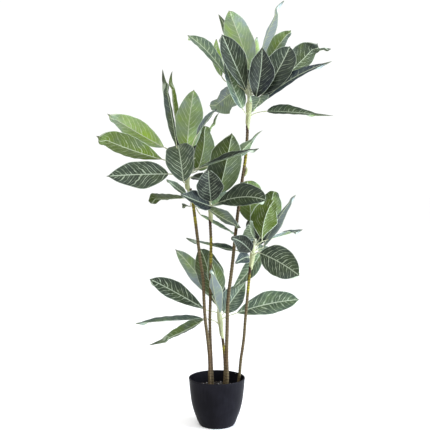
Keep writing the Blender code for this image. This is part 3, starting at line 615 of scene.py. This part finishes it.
def bark_material(name):
    """Brown with dark rings and fine cracks along it, and a yellow-green stretch below the crown."""
    finish = Finish(name)
    along = finish.parts(finish.coordinates())[0]
    green = finish.attribute("green")
    dark = finish.attribute("dark")
    cloud = finish.noise(45, 3)
    grain = finish.noise(420, 4, 0.65, finish.coordinates("Object", (1, 1, 0.22)))
    ring = (along + (cloud - 0.5) * 0.5).cycle()
    broken = finish.ramp(finish.noise(130, 1), 0.35, 0.6, 0.35)
    line = finish.ramp(ring, 0.52, 0.9) * finish.ramp(ring, 0.93, 1.0, 1.0, 0.3) * broken
    lit = finish.ramp(ring, 0.3, 0.0)
    stretch = finish.noise(7, 1)
    brown = finish.mix(finish.ramp(grain, 0.3, 0.72), *BARK_COLOURS)
    patched = finish.mix(finish.ramp(stretch + cloud * 0.5, 0.6, 0.85) * 0.7, brown, BARK_PATCH)
    mottled = finish.ramp(cloud, 0.4, 0.62)
    fresh = finish.mix(finish.ramp(grain, 0.3, 0.7) * mottled, *BARK_FRESH)
    skin = finish.mix(green, finish.mix(lit * 0.3, patched, BARK_LIT), fresh)
    ringed = finish.mix(line * 0.85, skin, BARK_RING)
    shaded = finish.mix(dark * 0.85, ringed, BARK_TIP)
    finish.bump(grain * 0.8 - line, 0.8 * MM)
    return finish.surface(shaded, cloud * 0.25 + 0.6, 0.18)


def pot_material(name):
    """Satin black plastic with a very fine moulded grain and faint drawn streaks."""
    finish = Finish(name)
    grain = finish.noise(1500, 2)
    cloud = finish.noise(14, 3)
    drawn = finish.noise(160, 3, at=finish.coordinates("Object", (1, 1, 0.06)))
    worn = finish.ramp(cloud + drawn * 0.4, 0.55, 0.95)
    colour = finish.mix(worn, *POT_COLOURS)
    finish.bump(grain + drawn * 0.5, 0.12 * MM, 0.6)
    return finish.surface(colour, cloud * 0.2 + 0.36, 0.042)


def soil_material(name):
    """Dark crumbs, each a little lighter or darker than the next."""
    finish = Finish(name)
    crumbs = finish.cells(330)
    cloud = finish.noise(120, 4, 0.7)
    colour = finish.mix(finish.ramp(crumbs + (cloud - 0.5), 0.1, 0.9), *SOILS[name])
    finish.bump(crumbs * -1 + cloud, 1.6 * MM)
    return finish.surface(colour, cloud * 0.1 + 0.88, 0.15)


def floor_material(name):
    """Seamless pale paper, so finely mottled that it looks plain."""
    finish = Finish(name)
    mottle = finish.noise(90, 3)
    finish.bump(mottle, 0.2 * MM, 0.3)
    return finish.surface(finish.mix(mottle, *FLOOR_COLOURS), 0.9, 0.1)


# The layout and its routes

def place(spot):
    """The point in metres at a column, a row and a depth in millimetres of the front layout."""
    column, row, depth = spot
    ahead = AIM - EYE
    distance = ahead.length
    ahead.normalize()
    right = ahead.cross(Vector((0, 0, 1))).normalized()
    up = right.cross(ahead)
    across = (column - LAYOUT_SIDE / 2) * LAYOUT_SPAN / LAYOUT_SIDE
    above = (LAYOUT_SIDE / 2 - row) * LAYOUT_SPAN / LAYOUT_SIDE
    ray = ahead * distance + right * across + up * above
    return EYE + ray * ((depth * MM - EYE.y) / ray.y)


def between(a, b, c, d, t):
    """A point between b and c on the smooth curve through a, b, c and d."""
    return 0.5 * (2 * b + (c - a) * t + (2 * a - 5 * b + 4 * c - d) * t * t
                  + (3 * b - a - 3 * c + d) * t * t * t)


def smooth_route(points, fine=12):
    """Many points on one smooth curve through a few."""
    ends = [2 * points[0] - points[1], *points, 2 * points[-1] - points[-2]]
    route = []
    for i in range(len(points) - 1):
        route += [between(*ends[i:i + 4], step / fine) for step in range(fine)]
    return route + [points[-1]]


def lengths_along(points):
    """The distance from the start of a route to each of its points."""
    lengths = [0.0]
    for a, b in zip(points, points[1:]):
        lengths.append(lengths[-1] + (b - a).length)
    return lengths


def point_at(points, lengths, length):
    """The point that lies a length along a route."""
    for i in range(len(points) - 1):
        if length <= lengths[i + 1]:
            share = (length - lengths[i]) / (lengths[i + 1] - lengths[i])
            return points[i].lerp(points[i + 1], share)
    return points[-1]


def step_between(value, low, high):
    """0 at low and before it, 1 at high and past it, and smooth between them."""
    share = min(max((value - low) / (high - low), 0.0), 1.0)
    return share * share * (3 - 2 * share)


# Meshes

def add_item(name, data):
    item = bpy.data.objects.new(name, data)
    bpy.context.scene.collection.objects.link(item)
    return item


class Skin:
    """Vertices, faces and values at the vertices that grow into one mesh."""

    def __init__(self):
        self.points = []
        self.faces = []
        self.slots = []
        self.maps = []
        self.values = {}

    def add(self, point, u=0.0, v=0.0, **values):
        self.points.append(point)
        self.maps.append((u, v))
        for name, value in values.items():
            self.values.setdefault(name, {})[len(self.points) - 1] = value
        return len(self.points) - 1

    def face(self, corners, slot=0):
        self.faces.append(corners)
        self.slots.append(slot)

    def strips(self, rows, slot=0):
        """Faces between each row of vertices and the next."""
        for low, high in zip(rows, rows[1:]):
            for i in range(len(low) - 1):
                self.face((low[i], low[i + 1], high[i + 1], high[i]), slot)

    def store(self, mesh, name, length):
        """Keeps the values of one name with the mesh: a number or a vector at each vertex, else 0."""
        kind = "FLOAT" if length == 1 else "FLOAT_VECTOR"
        filled = np.zeros((len(self.points), length), np.float32)
        for index, value in self.values[name].items():
            filled[index] = value
        data = mesh.attributes.new(name, kind, "POINT").data
        data.foreach_set("value" if length == 1 else "vector", filled.ravel())

    def grow(self, name, materials, vectors=(), sharp=50):
        mesh = bpy.data.meshes.new(name)
        mesh.from_pydata([tuple(point) for point in self.points], [], self.faces)
        for material in materials:
            mesh.materials.append(material)
        mesh.polygons.foreach_set("material_index", self.slots)
        corners = np.zeros(len(mesh.loops), np.int32)
        mesh.loops.foreach_get("vertex_index", corners)
        mesh.uv_layers.new(name="UVMap").data.foreach_set("uv", np.array(self.maps)[corners].ravel())
        for value in self.values:
            self.store(mesh, value, 3 if value in vectors else 1)
        mesh.shade_smooth()
        mesh.set_sharp_from_angle(angle=math.radians(sharp))
        return add_item(name, mesh)


def tube(skin, points, radius_at, sides, slot=0, map_at=None, **values):
    """Rings of vertices round a route: radius_at gives the radius at a step and an angle."""
    along = (points[1] - points[0]).normalized()
    side = along.cross(Vector((0, 1, 0.3))).normalized()
    rings = []
    for i, point in enumerate(points):
        ahead = (points[min(i + 1, len(points) - 1)] - points[max(i - 1, 0)]).normalized()
        side = (side - ahead * side.dot(ahead)).normalized()
        other = ahead.cross(side)
        ring = []
        for j in range(sides + 1):
            angle = 2 * math.pi * j / sides
            arm = side * math.cos(angle) + other * math.sin(angle)
            given = {name: value(i, angle) for name, value in values.items()}
            u = map_at(i) if map_at else i / (len(points) - 1)
            ring.append(skin.add(point + arm * radius_at(i, angle), u, j / sides, **given))
        rings.append(ring)
    skin.strips(rings, slot)
    skin.face(rings[0][:-1][::-1], slot)
    skin.face(rings[-1][:-1], slot)


def circle(radius, segments):
    """The corners of a closed ring about the z axis, the first one again at its end."""
    turns = [2 * math.pi * j / segments for j in range(segments + 1)]
    return [(radius * math.cos(turn), radius * math.sin(turn)) for turn in turns]


def stands_for(item, node):
    """The piece takes a solid's place: it joins the root body, and the solid is hidden."""
    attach(item, ROOT)
    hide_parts(node)


# The pot and the soil

def smooth_profile(profile):
    """Many points on the smooth outline through a few."""
    return [tuple(spot) for spot in smooth_route([Vector(point) for point in profile], PROFILE_STEPS)]


def build_pot():
    skin = Skin()
    lip = POT_WALL / 2 + LIP_SWELL
    turns = [math.radians(180 - 180 * i / LIP_STEPS) for i in range(LIP_STEPS + 1)]
    rim = [(RIM_RADIUS - lip + lip * math.cos(turn), POT_HEIGHT - lip + lip * math.sin(turn))
           for turn in turns]
    outer = smooth_profile([(RIM_RADIUS, POT_HEIGHT - LIP_HEIGHT), *POT_SIDE, *POT_FOOT])
    inner = smooth_profile([(radius - POT_WALL, height) for radius, height in reversed(POT_SIDE)])
    groove = [(RIM_RADIUS - inward, POT_HEIGHT - down) for inward, down in LIP_GROOVE]
    profile = [(POT_UNDER[-1][0], inner[0][1]), *inner, (inner[-1][0], POT_HEIGHT - LIP_INSIDE),
               *rim, *groove, *outer[4:], *POT_UNDER]
    rings = []
    for i, (radius, height) in enumerate(profile):
        rings.append([skin.add(Vector((x, y, height)) * MM, j / POT_SEGMENTS, i / len(profile))
                      for j, (x, y) in enumerate(circle(radius, POT_SEGMENTS))])
    skin.strips(rings)
    stands_for(skin.grow("pot_shell", [pot_material("pot_satin_black")], sharp=40), "pot")


def inner_radius(height):
    """The radius of the pot's inner wall at a height, both in millimetres."""
    upper, lower = next(pair for pair in zip(POT_SIDE, POT_SIDE[1:]) if height >= pair[1][1])
    share = (height - lower[1]) / (upper[1] - lower[1])
    return lower[0] + (upper[0] - lower[0]) * share - POT_WALL


def soil_top(x, y):
    """The height in millimetres of the soil's crumbly mound at a place in millimetres."""
    out = math.hypot(x, y) / inner_radius(SOIL_HEIGHT)
    rough = noise.fractal(Vector((x, y, 0)) / SOIL_LUMP_SIZE, 0.9, 2.1, 4)
    crumbs = noise.noise(Vector((x, y, 40)) / SOIL_CRUMB_SIZE)
    mound = SOIL_HEIGHT - SOIL_SINK - SOIL_RISE * out * out
    return mound + SOIL_LUMPS * rough + crumbs * SOIL_CRUMBS


def build_soil():
    skin = Skin()
    edge = inner_radius(SOIL_HEIGHT - SOIL_RISE) - SOIL_GAP
    rings = []
    for i in range(SOIL_RINGS + 1):
        rings.append([skin.add(Vector((x, y, soil_top(x, y))) * MM, x / edge, y / edge)
                      for x, y in circle(edge * i / SOIL_RINGS, SOIL_SEGMENTS)])
    rings.append([skin.add(Vector((x, y, SOIL_HEIGHT - SOIL_SKIRT)) * MM)
                  for x, y in circle(edge - SOIL_SKIRT_TAPER, SOIL_SEGMENTS)])
    skin.strips(rings)
    skin.face(rings[-1][:-1][::-1])
    stands_for(skin.grow("soil_bed", [soil_material("soil_crumbs")]), "soil")


def build_granules():
    """Loose crumbs and pale grit on the soil, each a rough little stone."""
    skin = Skin()
    rng = random.Random(GRANULE_SEED)
    edge = inner_radius(SOIL_HEIGHT - SOIL_RISE) - GRANULE_MARGIN
    for _ in range(GRANULES):
        radius = edge * math.sqrt(rng.random())
        turn = 2 * math.pi * rng.random()
        x, y = radius * math.cos(turn), radius * math.sin(turn)
        size = rng.uniform(*GRANULE_SIZES)
        centre = Vector((x, y, soil_top(x, y) + size * GRANULE_LIFT))
        grit = 1 if rng.random() < GRIT_SHARE else 0
        stone(skin, centre * MM, size * MM, rng, grit)
    item = skin.grow("soil_granules", [soil_material("soil_loose"), soil_material("soil_grit")])
    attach(item, ROOT)


def stone(skin, centre, size, rng, slot):
    """A rough stone: rings of a ball, each vertex moved in or out a little."""
    rings = []
    for i in range(STONE_LEVELS + 1):
        lift = math.pi * (i / STONE_LEVELS - 0.5)
        ring = []
        for j, (x, y) in enumerate(circle(math.cos(lift), STONE_SIDES)[:-1]):
            arm = Vector((x, y, STONE_FLATNESS * math.sin(lift))) * size * rng.uniform(*STONE_ROUGHNESS)
            ring.append(skin.add(centre + arm, j / STONE_SIDES, i / STONE_LEVELS))
        rings.append(ring + ring[:1])
    skin.strips(rings, slot)


# The canes

def build_cane(cane, bark, scale):
    """A cane whose fine rings swell towards each leaf scar, with a deeper scar at each long ring."""
    points = [place(spot) for spot in cane.route]
    foot = Vector((points[0].x * CANE_FOOT_REACH, points[0].y * CANE_FOOT_REACH, CANE_FOOT_HEIGHT * MM))
    route = smooth_route([foot, *points])
    lengths = lengths_along(route)
    total = lengths[-1]
    ringed = total - CANE_TIP_PLAIN * MM
    pitch = ringed / round(ringed / (CANE_RING_PITCH * MM)) / CANE_FINE_RINGS
    steps = round(total / pitch * CANE_RING_STEPS)
    spots = [total * i / steps for i in range(steps + 1)]
    green_top, green_foot = (place((0, row, 0)).z for row in cane.green_rows)

    def radius_at(i, angle):
        share = spots[i] / total
        count = spots[i] / pitch
        swell = (count % 1) ** 2
        scar = 1 if int(count) % CANE_FINE_RINGS == CANE_FINE_RINGS - 1 else 0
        plain = (cane.low_width * (1 - share) + cane.high_width * share) / 2
        wander = noise.noise(Vector((math.cos(angle), math.sin(angle), count * CANE_WANDERS)))
        rise = CANE_FINE_RISE + (CANE_RING_RISE - CANE_FINE_RISE) * scar
        return (plain - CANE_SLACK + swell * rise + CANE_WANDER * wander) * MM

    def green_at(i, angle):
        height = point_at(route, lengths, spots[i]).z + GREEN_SLANT * MM * math.sin(2 * angle)
        soft = GREEN_SOFTNESS * MM
        return (step_between(height, green_foot - soft, green_foot + soft)
                * step_between(height, green_top + soft, green_top - soft))

    def dark_at(i, angle):
        return step_between(spots[i], total - CANE_TIP_DARK * 2 * MM, total - CANE_TIP_DARK * MM)

    skin = Skin()
    tube(skin, [point_at(route, lengths, spot) for spot in spots], radius_at, CANE_SIDES,
         map_at=lambda i: spots[i] / pitch, green=green_at, dark=dark_at)
    if cane.name == BUD_CANE:
        build_bud(skin)
    stands_for(skin.grow(cane.name + "_bark", [bark, scale]), cane.name)


def build_bud(skin):
    """A small sleeping bud that lies against a cane."""
    route = smooth_route([place(spot) for spot in BUD_ROUTE], 8)
    last = len(route) - 1

    def radius_at(i, angle):
        return max(BUD_WIDTH / 2 * math.sin(math.pi * (0.12 + 0.86 * i / last)), LEAST_RADIUS) * MM

    tube(skin, route, radius_at, BUD_SIDES, 1, edge=lambda i, angle: 0.5 * i / last)


# The leaves

def midrib(leaf, t):
    """The middle line of a blade and its direction at t, from 0 at the base to 1 at the tip."""
    base, middle, tip = (place(spot) for spot in leaf[:3])
    pull = 2 * middle - (base + tip) / 2
    spot = base * (1 - t) ** 2 + pull * (2 * t * (1 - t)) + tip * t ** 2
    heading = (pull - base) * (1 - t) + (tip - pull) * t
    return spot, heading.normalized()


def half_width(leaf, t):
    """Half the blade's width at t: round at the base, tapering to a short slim tail at the tip."""
    along = min(t / leaf.reach, 1)
    rising = leaf.blunt * leaf.full
    falling = leaf.blunt * (1 - leaf.full)
    top = leaf.full ** rising * (1 - leaf.full) ** falling
    keen = 1 - leaf.keen * step_between(along, BLADE_KEEN_START, 1)
    shape = along ** rising * (1 - along) ** falling / top * keen
    base = BLADE_BASE_WIDTH * (1 - t)
    tail = leaf.tail * step_between(t, TAIL_START, leaf.reach)
    tail *= min(1, (1 - t) / (1 - leaf.reach)) ** TAIL_TAPER
    return math.hypot(leaf.width * shape, base, tail) * MM / 2


def blade_frame(leaf, t):
    """The blade's middle, its side direction and the way its upper face looks at t."""
    spot, heading = midrib(leaf, t)
    faces = Vector(leaf.faces)
    up = (faces - heading * faces.dot(heading)).normalized()
    turn = math.radians(leaf.turn) * (t - 0.5) * 2
    side = heading.cross(up)
    bow = math.sin(math.pi * max(t - BLADE_BOW_START, 0) / (1 - BLADE_BOW_START))
    spot = spot + side * (leaf.bow * MM * bow)
    return spot, side * math.cos(turn) - up * math.sin(turn), up * math.cos(turn) + side * math.sin(turn)


def blade_rise(leaf, t, s, half, phase):
    """How far a blade's upper face stands above its midrib: a channel, long waves and a fine ripple."""
    rise = BLADE_CHANNEL * abs(s) - BLADE_CROWN * s * s
    wave = BLADE_WAVE * leaf.wave * math.sin(2 * math.pi * (BLADE_WAVES * t + phase + 0.25 * s)) * s * s
    ripple = BLADE_RIPPLE * math.sin(2 * math.pi * (BLADE_RIPPLES * t + 3 * phase + 0.5 * s)) * abs(s) ** 3
    return half * rise + leaf.width * MM * (wave + ripple) * math.sin(math.pi * t)


def margin_wander(t, s, phase):
    """How far a margin strays from the plain outline: each side on its own, and less at the ends."""
    stray = noise.noise(Vector((BLADE_WANDERS * t, 9 * phase, 5 if s > 0 else 0)))
    return stray * math.sin(math.pi * t) * abs(s)


def build_blade(skin, leaf, phase, rng):
    """A blade with an upper and a lower face that meet at the margin, and a rib under its middle."""
    length = lengths_along([midrib(leaf, i / MIDRIB_STEPS)[0] for i in range(MIDRIB_STEPS + 1)])[-1]
    # Painted light and shade, painted sheen and warmth, the same over the whole leaf but for a little random
    # spread of the light
    tint = (leaf.light + rng.uniform(-TINT_SPREAD, TINT_SPREAD), leaf.cool, leaf.warm)
    habit = (leaf.bold, leaf.rim, leaf.lean)
    uppers, lowers = [], []
    for i in range(BLADE_ROWS + 1):
        t = i / BLADE_ROWS
        spot, side, up = blade_frame(leaf, t)
        plain = max(half_width(leaf, t), BLADE_LEAST * MM)
        upper, lower = [], []
        for j in range(BLADE_LANES + 1):
            s = 2 * j / BLADE_LANES - 1
            half = plain * (1 + BLADE_WANDER * margin_wander(t, s, phase))
            top = spot + side * (half * s) + up * blade_rise(leaf, t, s, half, phase)
            given = dict(half_width=half, half_ratio=half / length, tint=tint, habit=habit, split=leaf.split)
            upper.append(skin.add(top, t / leaf.reach, j / BLADE_LANES, **given))
            rib = (RIB_HEIGHT - BLADE_EDGE) * (1 - t) * math.exp(-(half * s / (RIB_WIDTH * MM)) ** 2)
            rolled = half / MM * TAIL_ROLL * step_between(t, leaf.reach - TAIL_ROLL_RUN, leaf.reach)
            thick = BLADE_EDGE + (BLADE_THICKNESS - BLADE_EDGE) * (1 - s * s) * (1 - t) + rib + rolled
            if j in (0, BLADE_LANES):
                lower.append(upper[-1])
            else:
                lower.append(skin.add(top - up * thick * MM, t / leaf.reach, j / BLADE_LANES, **given))
        uppers.append(upper)
        lowers.append(lower)
    skin.strips(uppers, 0)
    skin.strips([row[::-1] for row in lowers], 1)


def build_stalk(skin, leaf, crown):
    """A leaf stalk from the sheath to the blade, swollen at its foot and at the joint below the blade."""
    axis = [place(spot) for spot in crown.route]
    base, heading = midrib(leaf, 0.0)
    reach = (base - axis[-1]).length
    lowest, highest = axis[1].z, axis[-2].z
    height = min(max(base.z - 0.5 * reach, lowest), highest)
    share = (height - lowest) / (highest - lowest)
    route = smooth_route(axis[1:-1])
    lengths = lengths_along(route)
    root = point_at(route, lengths, share * lengths[-1])
    rising = (axis[-2] - axis[1]).normalized()
    pull = (base - root).length / 3
    a, b, c, d = root, root + rising * pull, base - heading * pull, base
    points, widths = [], []
    for i in range(STALK_STEPS + 1):
        t = i / STALK_STEPS
        points.append(a * (1 - t) ** 3 + b * (3 * t * (1 - t) ** 2)
                      + c * (3 * t * t * (1 - t)) + d * t ** 3)
        swell = step_between(t, *STALK_JOINT_RUN[:2]) * step_between(t, *STALK_JOINT_RUN[2:])
        joint = 1 + (STALK_JOINT - 1) * swell
        widths.append((STALK_FOOT_WIDTH * (1 - t) ** 2 + STALK_WIDTH * (1 - (1 - t) ** 2)) * joint)
    below = blade_frame(leaf, 0.0)[2] * -STALK_UNDER * MM
    for t in STALK_RUN_IN:
        points.append(midrib(leaf, t)[0] + below)
        widths.append(STALK_WIDTH * (1 - 4 * t))
    tube(skin, points, lambda i, angle: widths[i] * MM / 2, STALK_SIDES, 2,
         pale=lambda i, angle: STALK_PALE)


def build_sheath(skin, crown):
    """Leaf bases wrapped round each other, each ending in an oblique collar, and a rolled pale shoot."""
    axis = [place(spot) for spot in crown.route]
    axis[0] += (axis[0] - axis[1]).normalized() * SHEATH_HEM * MM
    axis.append(axis[-1] + (axis[-1] - axis[-2]).normalized() * SHEATH_TIP * MM)
    radii = [Vector((width / 2, 0)) for width in (*crown.widths, SHEATH_TIP_WIDTH)]
    route = smooth_route(axis, SHEATH_STEPS // len(axis))
    widths = [spot.x for spot in smooth_route(radii, SHEATH_STEPS // len(axis))]
    last = len(route) - 1

    def collars(i, angle):
        """How many collars a place is above, and how near it is to the rim of one."""
        above, rim = 0.0, 0.0
        for k, start in enumerate(COLLARS):
            end = start + COLLAR_SLANT * math.cos(angle - k * COLLAR_TURN)
            above += step_between(i / last, end - COLLAR_SOFTNESS / 2, end + COLLAR_SOFTNESS)
            rim = max(rim, 1 - abs(i / last - end) / COLLAR_SOFTNESS)
        return above, rim

    def radius_at(i, angle):
        layers = len(COLLARS) / 2 - collars(i, angle)[0]
        roll = SHEATH_ROLL * ((angle / (2 * math.pi) + SHEATH_ROLL_TURNS * i / last) % 1)
        ribs = SHEATH_RIB_RISE * math.sin(SHEATH_RIBS * angle)
        full = widths[i] * (SHEATH_SNUG + roll + ribs) + layers * COLLAR_RISE * (1 - i / last)
        slant = SHEATH_HEM_SLANT * math.cos(angle)
        hem = step_between(i / last, *(start + slant for start in SHEATH_HEM_RUN))
        return max(full * hem + SHEATH_INSIDE * (1 - hem), LEAST_RADIUS) * MM

    tube(skin, route, radius_at, SHEATH_SIDES, 3,
         pale=lambda i, angle: 0.1 + 0.75 * step_between(i / last, 0.45, 0.95),
         edge=lambda i, angle: 0.45 * collars(i, angle)[1])


def build_crown(crown, materials):
    """The leafy top of a cane as one piece."""
    skin = Skin()
    rng = random.Random(crown.name)
    for i, leaf in enumerate(crown.leaves):
        build_blade(skin, leaf, (i + 1) * GOLDEN_RATIO, rng)
        build_stalk(skin, leaf, crown)
    build_sheath(skin, crown)
    item = skin.grow(crown.name + "_leaves", materials, vectors=("tint", "habit"))
    stands_for(item, crown.name)


# The studio

def look_at(item, spot, target):
    item.location = spot
    item.rotation_euler = (Vector(target) - Vector(spot)).to_track_quat("-Z", "Y").to_euler()


def build_studio():
    skin = Skin()
    corners = ((-1, -1), (1, -1), (1, 1), (-1, 1))
    skin.face([skin.add(Vector((x, y, 0)) * FLOOR_REACH, x, y) for x, y in corners])
    skin.grow("floor", [floor_material("pale_paper")])
    world = bpy.data.worlds.new("studio")
    world.use_nodes = True
    sky = world.node_tree.nodes["Background"].inputs
    sky["Color"].default_value = (1, 1, 1, 1)
    sky["Strength"].default_value = WORLD_STRENGTH
    bpy.context.scene.world = world
    for name, spot, target, size, power, colour in LIGHTS:
        data = bpy.data.lights.new(name, "AREA")
        data.shape = "SQUARE"
        data.size = size
        data.energy = power
        data.color = colour
        look_at(add_item(name, data), spot, target)


def build_camera():
    data = bpy.data.cameras.new("camera")
    data.sensor_width = SENSOR
    data.lens = SENSOR * (AIM - EYE).length / LAYOUT_SPAN
    data.dof.use_dof = False
    item = add_item("camera", data)
    look_at(item, EYE, AIM)
    bpy.context.scene.camera = item
    bpy.context.scene.view_settings.view_transform = "Standard"


build_pot()
build_soil()
build_granules()
bark = bark_material("cane_bark")
scale = stem_material("cane_bud")
for cane in CANES:
    build_cane(cane, bark, scale)
green = [leaf_material("leaf_upper", UPPER_LOOK), leaf_material("leaf_under", UNDER_LOOK),
         stem_material("leaf_stalk"), stem_material("leaf_sheath")]
for crown in CROWNS:
    build_crown(crown, green)
build_studio()
build_camera()
